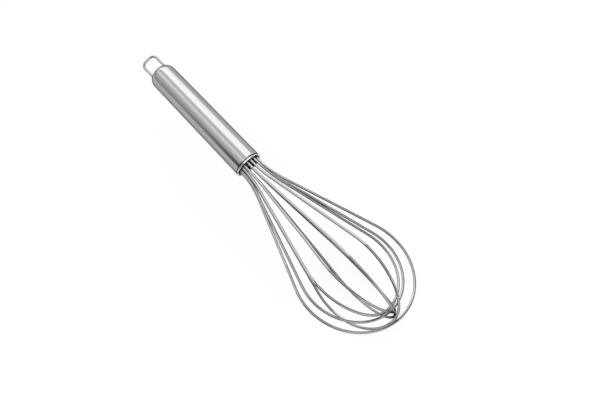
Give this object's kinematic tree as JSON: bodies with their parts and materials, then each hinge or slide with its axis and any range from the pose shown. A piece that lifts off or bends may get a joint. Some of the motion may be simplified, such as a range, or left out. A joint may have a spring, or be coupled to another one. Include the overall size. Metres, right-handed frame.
{
  "type": "balloon whisk",
  "caption": "Stainless steel balloon whisk: spring wire loops in a tapered tube handle with a domed end and a small hanging loop, for beating and blending.",
  "frame": {"origin": "middle of the eye of the hanging loop, on the axis of the handle", "axes": "+X runs along the axis of the whisk from the hanging loop to the tip of the wires, +Z is square to the flat hanging loop, +Y completes the right-handed frame"},
  "size_m": [0.2913, 0.0822, 0.0865],
  "materials": {
    "handle_steel": "satin stainless steel, brushed along the handle",
    "bead_steel": "bright stainless steel",
    "seat_steel": "dull stainless steel, in shadow inside the mouth",
    "resin": "dark cast epoxy, matt",
    "loop_steel": "bright drawn stainless wire",
    "wire_steel": "bright drawn stainless spring wire"
  },
  "bodies": {
    "root": {"handle_shell": "handle_steel", "mouth_ring": "bead_steel", "wire_seat": "seat_steel", "resin_plug": "resin", "hanging_loop": "loop_steel", "wire_loop_1": "wire_steel", "wire_loop_2": "wire_steel", "wire_loop_3": "wire_steel", "wire_loop_4": "wire_steel", "wire_loop_5": "wire_steel", "wire_loop_6": "wire_steel"}
  },
  "joints": []
}
